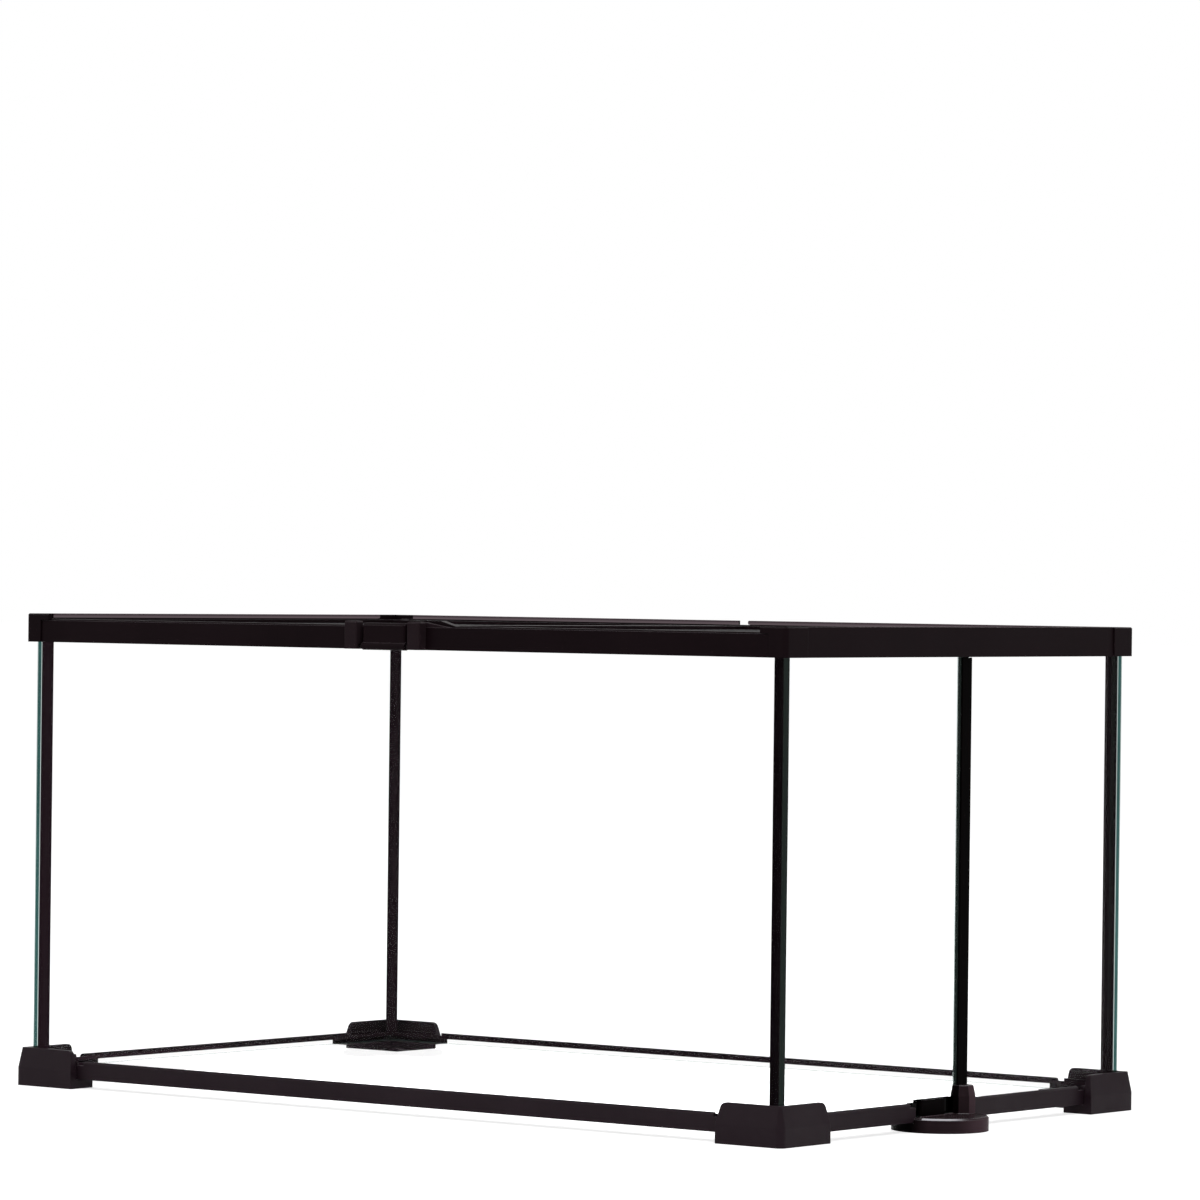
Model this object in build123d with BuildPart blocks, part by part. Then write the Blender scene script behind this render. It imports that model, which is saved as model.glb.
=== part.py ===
"""Glass tank with a plastic base frame, a top frame, two mesh lids and a front latch.

Millimetres, +Z up, front towards -Y.
The origin is the middle of the glass box's footprint, on the plane that the feet stand on.
"""
import math
import os

from build123d import *

# --- Driving dimensions -------------------------------------------------------------
length = 500.0  # top frame, over its outer faces, along X
depth = 300.0  # top frame, over its outer faces, along Y
height = 250.0  # top edge of the frame
frame_band = 15.0  # height of the outer wall of the top frame
front_drop = 3.5  # the front wall is lower, so that the lids can be gripped

glass = 4.0  # thickness of every pane
glass_inset = 3.5  # outer face of the panes, inside the outer face of the top frame
glass_in_frame = 5.5  # how far a pane reaches up into the top frame
joint = 0.5  # width of the silicone joint between two panes
bead_leg = 4.4  # leg of an upright silicone fillet
floor_bead_leg = 1.6  # leg of the fillet round the floor
bead_tip = 0.2  # thickness that it runs out to at the top

fit = 0.3  # gap between pieces that are pushed together
touch = 0.1  # gap between a pane and the wall that holds it

# Base frame: rails between feet
foot_overhang = 3.0  # feet stand outside the top frame
foot_wing = 40.0  # length of each arm of a corner foot
foot_height = 20.0
foot_crease = 9.5  # height where the outer faces start to lean in
foot_lean = 2.2  # how far they lean in at the top
foot_plate = 4.8  # floor of the foot
rail_seat = 0.2  # gap between that floor and a rail
foot_plate_width = 17.0
foot_corner_radius = 3.5
foot_tip_radius = 3.0  # upper corner at the end of each arm

rail_base = 2.7  # thickness of the rail's floor
rail_height = 9.5
rail_wall = 1.5
rail_width = 12.2
rail_bevel = 0.9
rail_notch_length = 4.5  # cut in the rail's top edge beside a foot
rail_notch_depth = 2.2

# Round foot and post in the middle of the right side
disc_radius = 24.3
disc_height = 7.3
disc_rim_bevel = 0.8
side_foot_y = -13.0
side_foot_out = 0.6  # its middle, outside the outer face of the panes
boss_reach = 17.8  # front end of the boss, in front of the disc's centre
boss_length = 20.6
boss_height = 15.7
boss_shoulder = 3.0  # round at the upper front corner
boss_bevel = 0.5
collar_width = 13.0  # across the flats
collar_height = 21.3
collar_taper_height = 5.3
collar_top_width = 11.1
collar_shift = 18.6  # collar centre behind the disc's centre
rail_gap_y = 22.3  # end of the front rail, in front of the disc's centre
post_width = 4.4  # its web, between the panes
post_flange = 1.0  # thickness of its flange, outside the panes
post_flange_width = 8.3
post_socket = 9.0

# Top frame
wall = 2.0
cap_proud = 0.8
cap_corner_radius = 2.4
cap_bevel = 0.6
cap_lower_leg_x = 9.5  # the front wall runs on under the cap, up to here
cap_leg_x = 15.0
cap_leg_y = 17.0
seam = 0.15
web_thickness = 2.0
skirt = 1.6  # inner lip behind the panes
skirt_drop = 4.5
bead_height = 2.1  # moulded bead along the inner top edge
bead_depth = 1.6
bead_bevel = 0.6
lip_bevel = 0.4

# Lids
lid_rest = 0.3  # gap under a lid
lid_thickness = 3.9
lid_border = 9.0
lid_side_gap = 0.8  # to the moulded beads
lid_front_gap = 0.8
lid_middle_gap = 6.0
lid_corner_radius = 3.0
lid_bevel = 0.5
mesh_thickness = 0.8
mesh_edge = 3.0  # how far the mesh reaches into the lid's groove
mesh_height = 1.3  # underside of the mesh above the underside of the lid
mesh_columns = 8
mesh_rows = 10
mesh_bar = 2.0
tab_height = 2.6  # finger tab on the right lid
tab_flat = 26.0
tab_ramp = 12.0
tab_depth = 4.0
tab_root = 1.0  # part of the tab that is sunk into the lid
tab_toe = 0.4  # height left at the lower end of its slope

# Hinges along the back
pin_radius = 1.2
pin_clearance = 0.05
knuckle_radius = 2.2
knuckle_length = 8.5
knuckle_lift = 0.4  # gap under a knuckle
knuckle_root = 1.0  # part of its web that is sunk into the lid
hinge_inset = 7.0  # hinge axis in front of the frame's outer face
bracket_length = 7.0
bracket_depth = 5.4
bracket_height = 4.8
bracket_radius = 1.6  # round over the upper edges, which the lid turns past
bracket_gap = 0.3  # between a bracket and a knuckle
bracket_overlap = 2.5  # how far an outer bracket reaches in front of the corner cap
bracket_clear = 2.0  # end of the bead beside an outer bracket's knuckle
middle_block = 11.0  # width of the bracket in the middle
back_notch_width = 8.0
back_notch_depth = 2.3

# Cross bar under the gap between the lids
bar_width = 18.0
bar_rib = 4.0
bar_rib_drop = 4.0

# Latch in the middle of the front
ear_width = 8.2
ear_outer = 24.8  # outer face of each ear from the middle
ear_depth = 5.3  # how far the ears stand out of the frame
ear_rise = 2.7  # above the lip of the front wall
ear_edge_radius = 0.8
ear_bevel = 0.7
lock_plate = 1.0  # back plate of the latch housing
lock_ramp = 16.0  # slope beside the right ear
lock_ramp_root = 1.0  # part of the slope that is sunk into the ear
lock_ramp_step = 0.2  # slope below the ear's top and in front of the lip's back
flap_width = 28.2
flap_thickness = 3.2
flap_gap = 0.4  # behind the flap
flap_top_gap = 0.4  # over the lip
flap_bead = 1.4
flap_nose = 1.2  # bevel along the upper front edge
flap_edge = 0.4  # bevels on the bead that lies over the lip
flap_side_radius = 1.6
lock_pin_radius = 1.0
lock_barrel = 2.0
lock_pin_rise = 1.6  # pin above the lower edge of the frame
ear_wall = 1.8  # material of the ear outside the end of the pin

# --- Planes and lines worked out from them ------------------------------------------
half_x, half_y = length / 2, depth / 2
pane_x, pane_y = half_x - glass_inset, half_y - glass_inset  # outer faces of the panes
inner_x, inner_y = pane_x - glass, pane_y - glass
foot_x, foot_y = half_x + foot_overhang, half_y + foot_overhang

rail_bottom = foot_plate + rail_seat
rail_floor = rail_bottom + rail_base  # the panes stand here
rail_top = rail_bottom + rail_height
rail_out_x, rail_out_y = pane_x + touch + rail_wall, pane_y + touch + rail_wall

floor_bottom = rail_floor + touch
floor_top = floor_bottom + glass
frame_bottom = height - frame_band
pane_top = frame_bottom + glass_in_frame
web_bottom = pane_top + joint
web_top = web_bottom + web_thickness
lip_top = height - front_drop

lid_bottom = web_top + lid_rest
lid_top = lid_bottom + lid_thickness
lid_outer_x = half_x - wall - bead_depth - lid_side_gap
lid_front_y = -(half_y - wall - lid_front_gap)
hinge_y = half_y - hinge_inset
hinge_z = web_top + knuckle_radius + knuckle_lift
lid_back_y = hinge_y - bracket_depth / 2 - 2 * bracket_gap
lid_inner_x = lid_middle_gap / 2

side_foot_x = pane_x + side_foot_out
post_y = side_foot_y + collar_shift
flange_in = pane_x + touch
flange_out = flange_in + post_flange
flange_top = frame_bottom - fit
collar_gap_front = post_y - collar_width / 2 - fit
collar_gap_rear = post_y + collar_width / 2 + fit
parts = {}


def block(x0, x1, y0, y1, z0, z1):
    """A rectangular solid between two corners."""
    with BuildPart() as made:
        with BuildSketch(Plane.XY.offset(z0)):
            with Locations(((x0 + x1) / 2, (y0 + y1) / 2)):
                Rectangle(abs(x1 - x0), abs(y1 - y0))
        extrude(amount=z1 - z0)
    return made.part


def bar_along_x(points, x0, x1):
    """A profile given as (y, z) points, pulled along X."""
    with BuildPart() as made:
        with BuildSketch(Plane.YZ.offset(x0)):
            with BuildLine():
                Polyline(*points, close=True)
            make_face()
        extrude(amount=x1 - x0)
    return made.part


def bar_along_y(points, y0, y1):
    """A profile given as (x, z) points, pulled along Y."""
    with BuildPart() as made:
        with BuildSketch(Plane.XZ.offset(-y0)):
            with BuildLine():
                Polyline(*points, close=True)
            make_face()
        extrude(amount=-(y1 - y0))
    return made.part


# --- Panes --------------------------------------------------------------------------
def make_panes():
    """Front and back panes run the full width, and the side panes stand between them."""
    floor_x, floor_y = inner_x - joint, inner_y - joint
    with BuildPart() as floor_glass:
        add(block(-floor_x, floor_x, -floor_y, floor_y, floor_bottom, floor_top))
    parts["floor_glass"] = floor_glass

    for name, side in (("front_glass", -1), ("back_glass", 1)):
        y0, y1 = sorted((side * inner_y, side * pane_y))
        with BuildPart() as pane:
            add(block(-pane_x, pane_x, y0, y1, rail_floor, pane_top))
        parts[name] = pane

    side_y = inner_y - joint
    with BuildPart() as left_glass:
        add(block(-pane_x, -inner_x, -side_y, side_y, rail_floor, pane_top))
    parts["left_glass"] = left_glass

    # The right side is two panes with a post between them, cut out round its collar.
    front_end = post_y - post_width / 2 - fit
    rear_start = post_y + post_width / 2 + fit
    with BuildPart() as right_front_glass:
        add(block(inner_x, pane_x, -side_y, front_end, rail_floor, pane_top))
        add(
            block(inner_x, pane_x, collar_gap_front, front_end, rail_floor, collar_height + fit),
            mode=Mode.SUBTRACT,
        )
    parts["right_front_glass"] = right_front_glass
    with BuildPart() as right_rear_glass:
        add(block(inner_x, pane_x, rear_start, side_y, rail_floor, pane_top))
        add(
            block(inner_x, pane_x, rear_start, collar_gap_rear, rail_floor, collar_height + fit),
            mode=Mode.SUBTRACT,
        )
    parts["right_rear_glass"] = right_rear_glass


def make_silicone():
    """Joints and fillets in the four upright corners, and a small fillet round the floor."""
    skirt_bottom = web_bottom - skirt_drop
    upright_top = skirt_bottom - fit
    floor_bead_top = floor_top + floor_bead_leg
    side_y = inner_y - joint
    hollow_leg = 0.38 * bead_leg
    with BuildPart() as corner_silicone:
        with BuildSketch(Plane.XY.offset(floor_bead_top)):
            for sx in (-1, 1):
                for sy in (-1, 1):
                    corner = (sx * inner_x, sy * inner_y)
                    along_x = (sx * (inner_x - bead_leg), sy * inner_y)
                    along_y = (sx * inner_x, sy * (inner_y - bead_leg))
                    hollow = (sx * (inner_x - hollow_leg), sy * (inner_y - hollow_leg))
                    with BuildLine():
                        Line(corner, along_x)
                        ThreePointArc(along_x, hollow, along_y)
                        Line(along_y, corner)
                    make_face()
        extrude(amount=upright_top - floor_bead_top)
        # Silicone in the joint between the end of a side pane and the pane that it meets.
        for sx in (-1, 1):
            for sy in (-1, 1):
                x0, x1 = sorted((sx * inner_x, sx * pane_x))
                y0, y1 = sorted((sy * side_y, sy * inner_y))
                add(block(x0, x1, y0, y1, rail_floor, pane_top))
    parts["corner_silicone"] = corner_silicone

    with BuildPart() as floor_silicone:
        with BuildSketch(Plane.XY.offset(floor_top)):
            Rectangle(2 * inner_x, 2 * inner_y)
        extrude(amount=floor_bead_leg)
        with BuildSketch(Plane.XY.offset(floor_top)):
            Rectangle(2 * (inner_x - floor_bead_leg), 2 * (inner_y - floor_bead_leg))
        with BuildSketch(Plane.XY.offset(floor_bead_top)):
            Rectangle(2 * inner_x - 2 * bead_tip, 2 * inner_y - 2 * bead_tip)
        loft(mode=Mode.SUBTRACT)
        # The bead stops on each side of the round foot's collar.
        add(
            block(inner_x - 2 * bead_leg, pane_x, collar_gap_front, collar_gap_rear,
                  floor_top, floor_bead_top),
            mode=Mode.SUBTRACT,
        )
    parts["floor_silicone"] = floor_silicone


# --- Base frame ---------------------------------------------------------------------
def rail_profile(out):
    """Section of a bottom rail as (distance from the middle, height), for one side."""
    inside = out - rail_width
    wall_in = out - rail_wall
    return [
        (inside, rail_bottom),
        (out, rail_bottom),
        (out, rail_top - rail_bevel),
        (out - rail_bevel, rail_top),
        (wall_in, rail_top),
        (wall_in, rail_floor),
        (inside, rail_floor),
    ]


rail_end_x = rail_out_x - rail_width - fit  # clear of the rail round the corner
rail_end_y = rail_out_y - rail_width - fit
rail_end_front = side_foot_y - rail_gap_y
notch_x = foot_x - foot_wing
notch_y = foot_y - foot_wing


def make_bottom_rails():
    """Angle-shaped rails that carry the panes, with a notch in the top edge at each foot."""
    notch_z = rail_top - rail_notch_depth
    for name, side in (("front_bottom_rail", -1), ("back_bottom_rail", 1)):
        points = [(side * u, z) for u, z in rail_profile(rail_out_y)]
        y0, y1 = sorted((side * rail_out_y, side * pane_y))
        with BuildPart() as rail:
            add(bar_along_x(points, -rail_end_x, rail_end_x))
            for end in (-1, 1):
                x0, x1 = sorted((end * (notch_x - rail_notch_length), end * notch_x))
                add(block(x0, x1, y0, y1, notch_z, rail_top), mode=Mode.SUBTRACT)
        parts[name] = rail

    runs = {
        "left_bottom_rail": (-1, -rail_end_y, rail_end_y, (-notch_y, notch_y - rail_notch_length)),
        "right_front_bottom_rail": (
            1, -rail_end_y, rail_end_front, (-notch_y, rail_end_front - rail_notch_length)),
        "right_rear_bottom_rail": (1, collar_gap_rear, rail_end_y, (notch_y - rail_notch_length,)),
    }
    for name, (side, y0, y1, notches) in runs.items():
        points = [(side * u, z) for u, z in rail_profile(rail_out_x)]
        x0, x1 = sorted((side * rail_out_x, side * pane_x))
        with BuildPart() as rail:
            add(bar_along_y(points, y0, y1))
            for start in notches:
                add(
                    block(x0, x1, start, start + rail_notch_length, notch_z, rail_top),
                    mode=Mode.SUBTRACT,
                )
        parts[name] = rail


def make_corner_foot(name, sx, sy):
    """An angled foot: two arms round the corner, a floor under them and a seat for the glass."""
    wing_end_x, wing_end_y = foot_x - foot_wing, foot_y - foot_wing
    wall_in_x, wall_in_y = rail_out_x + fit, rail_out_y + fit
    plate_in_x, plate_in_y = foot_x - foot_plate_width, foot_y - foot_plate_width

    with BuildSketch() as sole:
        with Locations((sx * (wing_end_x + foot_x) / 2, sy * (wing_end_y + foot_y) / 2)):
            Rectangle(foot_wing, foot_wing)
        outer = sole.vertices().sort_by_distance((sx * length, sy * length))[0]
        fillet(outer, radius=foot_corner_radius)
    leaning_height = foot_height - foot_crease
    lean_angle = math.degrees(math.atan2(foot_lean, leaning_height))
    with BuildPart() as foot:
        with BuildSketch():
            add(sole.sketch)
        extrude(amount=foot_crease)
        with BuildSketch(Plane.XY.offset(foot_crease)):
            add(sole.sketch)
        extrude(amount=leaning_height, taper=lean_angle)
        tips = foot.edges().group_by(Axis.Z)[-1]
        far_x = tips.filter_by(Axis.Y).sort_by(lambda e: abs(e.center().X))[0]
        far_y = tips.filter_by(Axis.X).sort_by(lambda e: abs(e.center().Y))[0]
        fillet([far_x, far_y], radius=foot_tip_radius)
        # Open the inside: above the floor behind the walls, and the floor beyond its width.
        x0, x1 = sorted((0, sx * wall_in_x))
        y0, y1 = sorted((0, sy * wall_in_y))
        add(block(x0, x1, y0, y1, foot_plate, foot_height), mode=Mode.SUBTRACT)
        x0, x1 = sorted((0, sx * plate_in_x))
        y0, y1 = sorted((0, sy * plate_in_y))
        with BuildSketch() as inner_floor:
            with Locations(((x0 + x1) / 2, (y0 + y1) / 2)):
                Rectangle(x1 - x0, y1 - y0)
            inner = inner_floor.vertices().sort_by_distance((sx * foot_x, sy * foot_y))[0]
            fillet(inner, radius=2 * foot_corner_radius)
        extrude(amount=foot_plate, mode=Mode.SUBTRACT)
        # Raised seat under the corner of the glass, between the ends of the rails.
        x0, x1 = sorted((sx * (rail_end_x + fit), sx * wall_in_x))
        y0, y1 = sorted((sy * (rail_end_y + fit), sy * wall_in_y))
        add(block(x0, x1, y0, y1, foot_plate, rail_floor))
    parts[name] = foot


def make_feet():
    for name, sx, sy in (
        ("front_left_foot", -1, -1),
        ("front_right_foot", 1, -1),
        ("back_left_foot", -1, 1),
        ("back_right_foot", 1, 1),
    ):
        make_corner_foot(name, sx, sy)


def make_side_foot():
    """Round foot in the middle of the right side, with a boss and a collar for the post."""
    floor_edge = inner_x - joint + touch  # clear of the edge of the floor glass
    wall_in = pane_x + touch
    inside = side_foot_x - 2 * disc_radius
    front, rear = side_foot_y - 2 * disc_radius, side_foot_y + 2 * disc_radius
    boss_front = side_foot_y - boss_reach
    collar_shoulder = collar_height - collar_taper_height
    with BuildPart() as side_foot:
        with BuildSketch():
            with Locations((side_foot_x, side_foot_y)):
                Circle(disc_radius)
        extrude(amount=disc_height)
        chamfer(side_foot.faces().sort_by(Axis.Z)[-1].edges(), length=disc_rim_bevel)
        # Channel under the panes, wider where the end of the front rail lies in it.
        add(
            block(inside, wall_in, front, rear, foot_plate, disc_height),
            mode=Mode.SUBTRACT,
        )
        add(
            block(inside, rail_out_x + fit, front, rail_end_front + fit,
                  foot_plate, disc_height),
            mode=Mode.SUBTRACT,
        )
        # Seat under the panes, at the height of the rails' floor.
        add(
            block(rail_out_x - rail_width, wall_in, boss_front, post_y, foot_plate, rail_floor)
        )
        with BuildSketch():
            with Locations((side_foot_x, post_y)):
                RegularPolygon(collar_width / 2, 8, major_radius=False, rotation=22.5)
        extrude(amount=collar_shoulder)
        with BuildSketch(Plane.XY.offset(collar_shoulder)):
            with Locations((side_foot_x, post_y)):
                RegularPolygon(collar_width / 2, 8, major_radius=False, rotation=22.5)
        with BuildSketch(Plane.XY.offset(collar_height)):
            with Locations((side_foot_x, post_y)):
                RegularPolygon(collar_top_width / 2, 8, major_radius=False, rotation=22.5)
        loft()
        add(make_boss(wall_in, boss_front))
        # Slot in the collar for the edge of the floor glass.
        add(
            block(inside, floor_edge, front, rear, rail_floor, floor_top + fit),
            mode=Mode.SUBTRACT,
        )
        # Socket for the post's web and flange.
        socket_z = collar_height - post_socket
        for x0, x1, width in (
            (inner_x, flange_out + touch, post_width),
            (pane_x, flange_out + touch, post_flange_width),
        ):
            half = width / 2 + touch
            add(
                block(x0, x1, post_y - half, post_y + half, socket_z, collar_height),
                mode=Mode.SUBTRACT,
            )
    parts["side_foot"] = side_foot


def make_boss(wall_in, boss_front):
    """Wall outside the pane, in line with the rail's wall, with a round front shoulder."""
    with BuildPart() as boss:
        with BuildSketch(Plane.YZ.offset(wall_in)) as side:
            with Locations((boss_front + boss_length / 2, (foot_plate + boss_height) / 2)):
                Rectangle(boss_length, boss_height - foot_plate)
            upper = side.vertices().group_by(Axis.Y)[-1]
            fillet(upper.sort_by(Axis.X)[0], radius=boss_shoulder)
        extrude(amount=rail_out_x - wall_in)
        chamfer(boss.faces().sort_by(Axis.X)[-1].edges(), length=boss_bevel)
    return boss.part


def make_side_post():
    """Upright of T section: a web between the two right panes and a flange outside them."""
    foot_z = collar_height - post_socket
    web, flange = post_width / 2, post_flange_width / 2
    with BuildPart() as side_post:
        add(block(inner_x + touch, pane_x, post_y - web, post_y + web, foot_z, pane_top))
        add(block(pane_x, flange_in, post_y - web, post_y + web, foot_z, flange_top))
        add(block(flange_in, flange_out, post_y - flange, post_y + flange, foot_z, flange_top))
        outer = side_post.edges().filter_by(Axis.Z).group_by(Axis.X)[-1]
        chamfer(outer, length=post_flange / 4)
    parts["side_post"] = side_post


# --- Top frame ----------------------------------------------------------------------
def shelf_edge(out):
    """Inner edge of the shelf that the lids rest on: it ends in line with the corner caps."""
    return out - cap_leg_y


def top_profile(out, wall_top, bead):
    """Section of a top rail as (distance from the middle, height), for one side."""
    slot_out = out - glass_inset + touch  # outer side of the slot that takes the pane
    slot_in = out - glass_inset - glass - touch
    wall_in = out - wall
    shelf = shelf_edge(out)
    points = [
        (out, frame_bottom),
        (out, wall_top),
    ]
    if bead:
        points += [
            (wall_in - bead_depth + bead_bevel, wall_top),
            (wall_in - bead_depth, wall_top - bead_bevel),
            (wall_in - bead_depth, wall_top - bead_height + bead_bevel),
            (wall_in - bead_depth + bead_bevel, wall_top - bead_height),
            (wall_in, wall_top - bead_height),
        ]
    else:
        points += [(wall_in + lip_bevel, wall_top), (wall_in, wall_top - lip_bevel)]
    points += [
        (wall_in, web_top),
        (shelf, web_top),
        (shelf, web_bottom),
        (slot_in - skirt, web_bottom),
        (slot_in - skirt, web_bottom - skirt_drop),
        (slot_in, web_bottom - skirt_drop),
        (slot_in, web_bottom),
        (slot_out, web_bottom),
        (slot_out, frame_bottom),
    ]
    return points


top_end_x = half_x - cap_leg_x - seam
top_end_y = half_y - cap_leg_y - seam


def make_top_rails():
    with BuildPart() as front_top_rail:
        points = [(-u, z) for u, z in top_profile(half_y, lip_top, False)]
        add(bar_along_x(points, -top_end_x, top_end_x))
        # The wall runs on under the upper part of each corner cap.
        wall_end = half_x - cap_lower_leg_x - seam
        add(block(-wall_end, wall_end, -half_y, -half_y + wall - seam, frame_bottom, lip_top))
        # Pocket for the back plate of the latch.
        add(
            block(-ear_outer - touch, ear_outer + touch, -half_y, -half_y + lock_plate,
                  frame_bottom, lip_top),
            mode=Mode.SUBTRACT,
        )
    parts["front_top_rail"] = front_top_rail

    with BuildPart() as back_top_rail:
        add(bar_along_x(top_profile(half_y, height, True), -top_end_x, top_end_x))
        # Notch between the lids, and room for the hinge brackets beside the corners.
        wall_in = half_y - wall
        add(
            block(-back_notch_width / 2, back_notch_width / 2, wall_in - bead_depth, half_y,
                  height - back_notch_depth, height),
            mode=Mode.SUBTRACT,
        )
        bead_end = bracket_x - knuckle_length - bracket_length / 2 - bracket_clear
        for x0, x1 in ((-top_end_x, -bead_end), (bead_end, top_end_x)):
            add(
                block(x0, x1, wall_in - bead_depth, wall_in, web_top, height),
                mode=Mode.SUBTRACT,
            )
    parts["back_top_rail"] = back_top_rail

    for name, side in (("left_top_rail", -1), ("right_top_rail", 1)):
        points = [(side * u, z) for u, z in top_profile(half_x, height, True)]
        with BuildPart() as rail:
            add(bar_along_y(points, -top_end_y, top_end_y))
        parts[name] = rail


def make_corner_cap(name, sx, sy):
    """Corner of the top frame: the rails' section turned through the corner."""
    seam_x, seam_y = half_x - cap_leg_x, half_y - cap_leg_y

    def corner(x_in, y_in, x_out, y_out, z0, z1, radius=0):
        """Corner-shaped wall between two offsets from the middle."""
        with BuildPart() as made:
            with BuildSketch(Plane.XY.offset(z0)) as outline:
                with Locations((sx * (seam_x + x_out) / 2, sy * (seam_y + y_out) / 2)):
                    Rectangle(x_out - seam_x, y_out - seam_y)
                if radius > 0:
                    tip = outline.vertices().sort_by_distance((sx * length, sy * length))[0]
                    fillet(tip, radius=radius)
                if x_in > seam_x:
                    with Locations((sx * (seam_x + x_in) / 2, sy * (seam_y + y_in) / 2)):
                        Rectangle(x_in - seam_x, y_in - seam_y, mode=Mode.SUBTRACT)
            extrude(amount=z1 - z0)
        return made.part

    slot_out = glass_inset - touch
    slot_in = glass_inset + glass + touch
    web_fill = corner(seam_x, seam_y, half_x, half_y, web_bottom, web_top)
    wall_ring = corner(
        half_x - wall, half_y - wall, half_x + cap_proud, half_y + cap_proud,
        frame_bottom, height, radius=cap_corner_radius)
    slot_ring = corner(
        half_x - slot_out, half_y - slot_out, half_x, half_y, frame_bottom, web_top)
    skirt_ring = corner(
        half_x - slot_in - skirt, half_y - slot_in - skirt, half_x - slot_in, half_y - slot_in,
        web_bottom - skirt_drop, web_top)
    with BuildPart() as cap:
        add(web_fill)
        add(wall_ring)
        add(slot_ring)
        add(skirt_ring)
        top_edges = cap.faces().sort_by(Axis.Z)[-1].edges()
        outer = [
            edge for edge in top_edges
            if abs(edge.center().X) > half_x or abs(edge.center().Y) > half_y
        ]
        chamfer(outer, length=cap_bevel)
        if sy < 0:
            # The front rail's wall runs on under the upper part of the cap.
            x0, x1 = sorted((sx * seam_x, sx * (half_x - cap_lower_leg_x)))
            add(
                block(x0, x1, -half_y - cap_proud, -half_y + wall,
                      frame_bottom, lip_top + seam),
                mode=Mode.SUBTRACT,
            )
    parts[name] = cap


def make_corner_caps():
    for name, sx, sy in (
        ("front_left_cap", -1, -1),
        ("front_right_cap", 1, -1),
        ("back_left_cap", -1, 1),
        ("back_right_cap", 1, 1),
    ):
        make_corner_cap(name, sx, sy)


def make_cross_bar():
    """T-shaped bar from front to back under the gap between the lids."""
    end = shelf_edge(half_y)
    points = [
        (-bar_width / 2, web_top),
        (bar_width / 2, web_top),
        (bar_width / 2, web_bottom),
        (bar_rib / 2, web_bottom),
        (bar_rib / 2, web_bottom - bar_rib_drop),
        (-bar_rib / 2, web_bottom - bar_rib_drop),
        (-bar_rib / 2, web_bottom),
        (-bar_width / 2, web_bottom),
    ]
    with BuildPart() as cross_bar:
        add(bar_along_y(points, -end, end))
    parts["cross_bar"] = cross_bar


# --- Hinges -------------------------------------------------------------------------
bracket_x = half_x - cap_leg_x - bracket_length / 2 + bracket_overlap  # its middle
outer_knuckle = bracket_x - bracket_length / 2 - bracket_gap  # outer end of that knuckle
inner_knuckle = middle_block / 2 + bracket_gap  # inner end of the inner knuckle


def hinge_bracket(x0, x1):
    """Block with a cross hole, rounded over the pin."""
    with BuildPart() as made:
        with BuildSketch(Plane.YZ.offset(x0)) as side:
            with Locations((hinge_y, web_top + bracket_height / 2)):
                Rectangle(bracket_depth, bracket_height)
            upper = side.vertices().group_by(Axis.Y)[-1]
            fillet(upper, radius=bracket_radius)
            with Locations((hinge_y, hinge_z)):
                Circle(pin_radius + pin_clearance, mode=Mode.SUBTRACT)
        extrude(amount=x1 - x0)
    return made.part


def make_hinges():
    half = bracket_length / 2
    for name, x0, x1 in (
        ("left_hinge_bracket", -bracket_x - half, -bracket_x + half),
        ("right_hinge_bracket", bracket_x - half, bracket_x + half),
        ("middle_hinge_bracket", -middle_block / 2, middle_block / 2),
    ):
        with BuildPart() as bracket:
            add(hinge_bracket(x0, x1))
        parts[name] = bracket

    inner_end = inner_knuckle + knuckle_length
    outer_start = outer_knuckle - knuckle_length
    spans = (
        (-inner_end, inner_end),
        (-bracket_x - half, -outer_start),
        (outer_start, bracket_x + half),
    )
    with BuildPart() as hinge_pins:
        for x0, x1 in spans:
            with BuildSketch(Plane.YZ.offset(x0)):
                with Locations((hinge_y, hinge_z)):
                    Circle(pin_radius)
            extrude(amount=x1 - x0)
    parts["hinge_pins"] = hinge_pins


# --- Lids ---------------------------------------------------------------------------
def knuckle(x0, x1):
    """Eye of a lid, with a web to the lid's back edge."""
    with BuildPart() as made:
        with BuildSketch(Plane.YZ.offset(x0)):
            with Locations((hinge_y, hinge_z)):
                Circle(knuckle_radius)
            web_start = lid_back_y - knuckle_root
            with Locations(((web_start + hinge_y) / 2, hinge_z)):
                Rectangle(hinge_y - web_start, 2 * knuckle_radius)
            with Locations((hinge_y, hinge_z)):
                Circle(pin_radius + pin_clearance, mode=Mode.SUBTRACT)
        extrude(amount=x1 - x0)
    return made.part


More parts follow.
